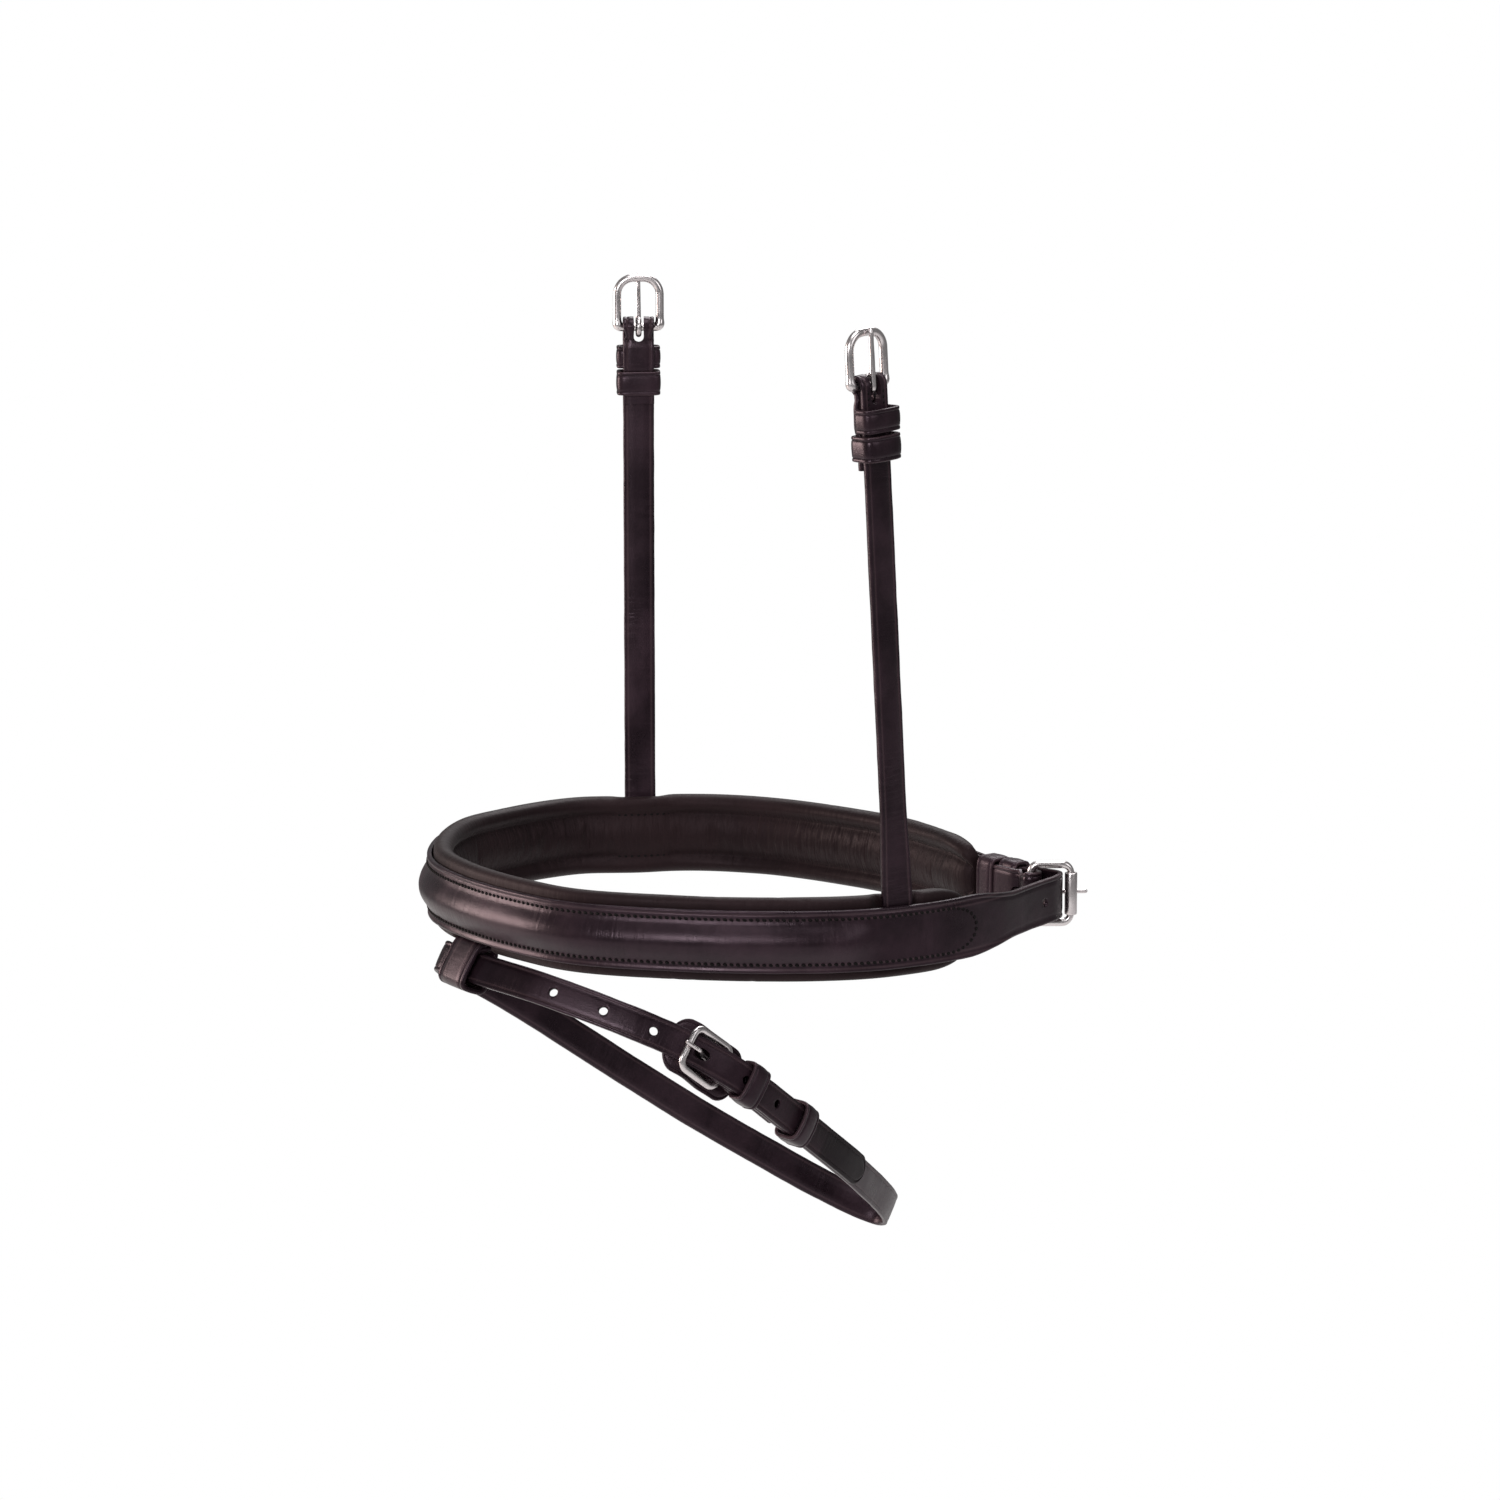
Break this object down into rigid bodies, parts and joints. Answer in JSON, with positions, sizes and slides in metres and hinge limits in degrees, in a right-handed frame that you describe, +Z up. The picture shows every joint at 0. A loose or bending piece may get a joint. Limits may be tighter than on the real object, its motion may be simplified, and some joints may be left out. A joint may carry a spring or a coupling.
{
  "type": "flash noseband",
  "caption": "Padded leather noseband with a jaw buckle, a hanger with a buckle on each cheek, and a flash strap looped through a tab at the front.",
  "frame": {"origin": "the middle of the ring that goes round the horse's nose, at half the height of the band", "axes": "+Z up along the hangers towards the poll, -Y the front of the nose, +X the horse's left side"},
  "size_m": [0.2258, 0.2302, 0.3701],
  "materials": {
    "strap_leather": "very dark brown, semi-gloss, creased edges",
    "lining_leather": "very dark brown, soft and matt",
    "padding": "foam and felt, sealed inside",
    "polished_steel": "polished stainless steel"
  },
  "bodies": {
    "noseband": {"noseband_strap": "strap_leather", "raised_core": "padding", "pad_foam": "padding", "pad_lining": "lining_leather", "hanger_strap_left": "strap_leather", "hanger_strap_right": "strap_leather", "hanger_fixed_keeper_left": "strap_leather", "hanger_fixed_keeper_right": "strap_leather", "flash_tab": "strap_leather", "jaw_fixed_keeper": "strap_leather"},
    "flash_loop": {"flash_strap": "strap_leather", "flash_buckle_guard": "strap_leather", "flash_fixed_keeper": "strap_leather"},
    "flash_frame": {"flash_buckle_frame": "polished_steel"},
    "flash_tongue": {"flash_buckle_tongue": "polished_steel"},
    "flash_slider": {"flash_running_keeper": "strap_leather"},
    "jaw_frame": {"jaw_buckle_frame": "polished_steel"},
    "jaw_roller": {"jaw_buckle_roller": "polished_steel"},
    "jaw_tongue": {"jaw_buckle_tongue": "polished_steel"},
    "jaw_slider": {"jaw_running_keeper": "strap_leather"},
    "hanger_frame_left": {"hanger_buckle_frame_left": "polished_steel"},
    "hanger_tongue_left": {"hanger_buckle_tongue_left": "polished_steel"},
    "hanger_slider_left": {"hanger_running_keeper_left": "strap_leather"},
    "hanger_frame_right": {"hanger_buckle_frame_right": "polished_steel"},
    "hanger_tongue_right": {"hanger_buckle_tongue_right": "polished_steel"},
    "hanger_slider_right": {"hanger_running_keeper_right": "strap_leather"}
  },
  "joints": [
    {"name": "flash_swing", "type": "hinge", "parent": "noseband", "child": "flash_loop", "pos_m": [-0.0055, -0.11344, -0.0225], "axis": [0.9925, 0.1225, 0], "range_deg": [-4, 8]},
    {"name": "flash_frame_lift", "type": "hinge", "parent": "flash_loop", "child": "flash_frame", "pos_m": [0.05417, -0.03651, -0.05619], "axis": [-0.2108, 0.5727, 0.7922], "range_deg": [-1, 3]},
    {"name": "flash_tongue_lift", "type": "hinge", "parent": "flash_frame", "child": "flash_tongue", "pos_m": [0.05417, -0.03651, -0.05619], "axis": [-0.2108, 0.5727, 0.7922], "range_deg": [0, 2]},
    {"name": "flash_keeper_slide", "type": "slide", "parent": "flash_loop", "child": "flash_slider", "axis": [0.4135, -0.7138, 0.5652], "range_m": [-0.006, 0.006]},
    {"name": "jaw_frame_lift", "type": "hinge", "parent": "noseband", "child": "jaw_frame", "pos_m": [0.06133, 0.08735, 0], "axis": [0, 0, 1], "range_deg": [-4, 4]},
    {"name": "jaw_roller_spin", "type": "hinge", "parent": "jaw_frame", "child": "jaw_roller", "pos_m": [0.06761, 0.10097, 0], "axis": [0, 0, 1], "continuous": true},
    {"name": "jaw_tongue_lift", "type": "hinge", "parent": "jaw_frame", "child": "jaw_tongue", "pos_m": [0.06133, 0.08735, 0], "axis": [0, 0, 1], "range_deg": [0, 4]},
    {"name": "jaw_keeper_slide", "type": "slide", "parent": "noseband", "child": "jaw_slider", "axis": [0.9873, 0.159, 0], "range_m": [-0.0025, 0]},
    {"name": "hanger_frame_tilt_left", "type": "hinge", "parent": "noseband", "child": "hanger_frame_left", "pos_m": [0.10074, -0.00098, 0.20045], "axis": [-0.2901, 0.9555, 0.0531], "range_deg": [-75, 30]},
    {"name": "hanger_tongue_lift_left", "type": "hinge", "parent": "hanger_frame_left", "child": "hanger_tongue_left", "pos_m": [0.10074, -0.00098, 0.20045], "axis": [-0.2901, 0.9555, 0.0531], "range_deg": [0, 80]},
    {"name": "hanger_keeper_slide_left", "type": "slide", "parent": "noseband", "child": "hanger_slider_left", "axis": [0, -0.0555, 0.9985], "range_m": [-0.018, 0]},
    {"name": "hanger_frame_tilt_right", "type": "hinge", "parent": "noseband", "child": "hanger_frame_right", "pos_m": [-0.09862, -0.0016, 0.2005], "axis": [-0.3767, -0.9263, 0], "range_deg": [-75, 30]},
    {"name": "hanger_tongue_lift_right", "type": "hinge", "parent": "hanger_frame_right", "child": "hanger_tongue_right", "pos_m": [-0.09862, -0.0016, 0.2005], "axis": [-0.3767, -0.9263, 0], "range_deg": [0, 80]},
    {"name": "hanger_keeper_slide_right", "type": "slide", "parent": "noseband", "child": "hanger_slider_right", "axis": [0, 0, 1], "range_m": [-0.018, 0]}
  ]
}
